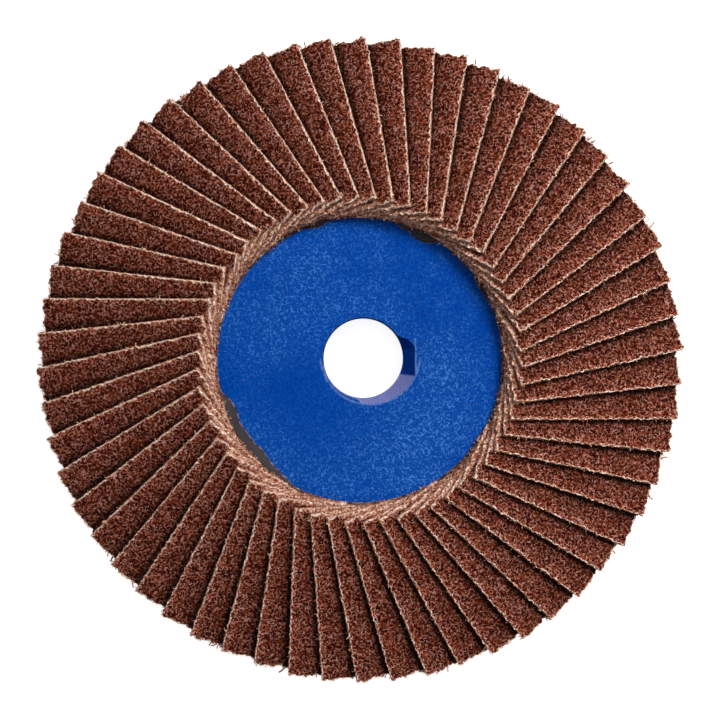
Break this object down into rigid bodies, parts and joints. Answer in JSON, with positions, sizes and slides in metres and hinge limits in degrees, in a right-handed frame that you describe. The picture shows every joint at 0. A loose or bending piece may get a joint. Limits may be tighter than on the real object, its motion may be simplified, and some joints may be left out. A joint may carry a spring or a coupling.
{
  "type": "flap disc",
  "caption": "Abrasive flap disc for an angle grinder: a flat-centred conical plastic backing plate carries a resin-set fan of overlapping coarse cloth flaps.",
  "frame": {"origin": "centre of the arbor hole at the back clamping seat", "axes": "+Z along the arbor axis towards the work, out of the grinding side; +X and +Y across the disc"},
  "size_m": [0.18, 0.18, 0.0194],
  "materials": {
    "backing_plate": "satin, lightly dusted",
    "adhesive": "smooth cured resin",
    "abrasive_cloth": "coarse reddish brown grain on cream cloth"
  },
  "bodies": {
    "root": {"backing_plate": "backing_plate", "adhesive": "adhesive", "flap_01": "abrasive_cloth", "flap_02": "abrasive_cloth", "flap_03": "abrasive_cloth", "flap_04": "abrasive_cloth", "flap_05": "abrasive_cloth", "flap_06": "abrasive_cloth", "flap_07": "abrasive_cloth", "flap_08": "abrasive_cloth", "flap_09": "abrasive_cloth", "flap_10": "abrasive_cloth", "flap_11": "abrasive_cloth", "flap_12": "abrasive_cloth", "flap_13": "abrasive_cloth", "flap_14": "abrasive_cloth", "flap_15": "abrasive_cloth", "flap_16": "abrasive_cloth", "flap_17": "abrasive_cloth", "flap_18": "abrasive_cloth", "flap_19": "abrasive_cloth", "flap_20": "abrasive_cloth", "flap_21": "abrasive_cloth", "flap_22": "abrasive_cloth", "flap_23": "abrasive_cloth", "flap_24": "abrasive_cloth", "flap_25": "abrasive_cloth", "flap_26": "abrasive_cloth", "flap_27": "abrasive_cloth", "flap_28": "abrasive_cloth", "flap_29": "abrasive_cloth", "flap_30": "abrasive_cloth", "flap_31": "abrasive_cloth", "flap_32": "abrasive_cloth", "flap_33": "abrasive_cloth", "flap_34": "abrasive_cloth", "flap_35": "abrasive_cloth", "flap_36": "abrasive_cloth", "flap_37": "abrasive_cloth", "flap_38": "abrasive_cloth", "flap_39": "abrasive_cloth", "flap_40": "abrasive_cloth", "flap_41": "abrasive_cloth", "flap_42": "abrasive_cloth", "flap_43": "abrasive_cloth", "flap_44": "abrasive_cloth", "flap_45": "abrasive_cloth", "flap_46": "abrasive_cloth", "flap_47": "abrasive_cloth", "flap_48": "abrasive_cloth", "flap_49": "abrasive_cloth", "flap_50": "abrasive_cloth", "flap_51": "abrasive_cloth", "flap_52": "abrasive_cloth", "flap_53": "abrasive_cloth", "flap_54": "abrasive_cloth", "flap_55": "abrasive_cloth", "flap_56": "abrasive_cloth", "flap_57": "abrasive_cloth", "flap_58": "abrasive_cloth"}
  },
  "joints": []
}
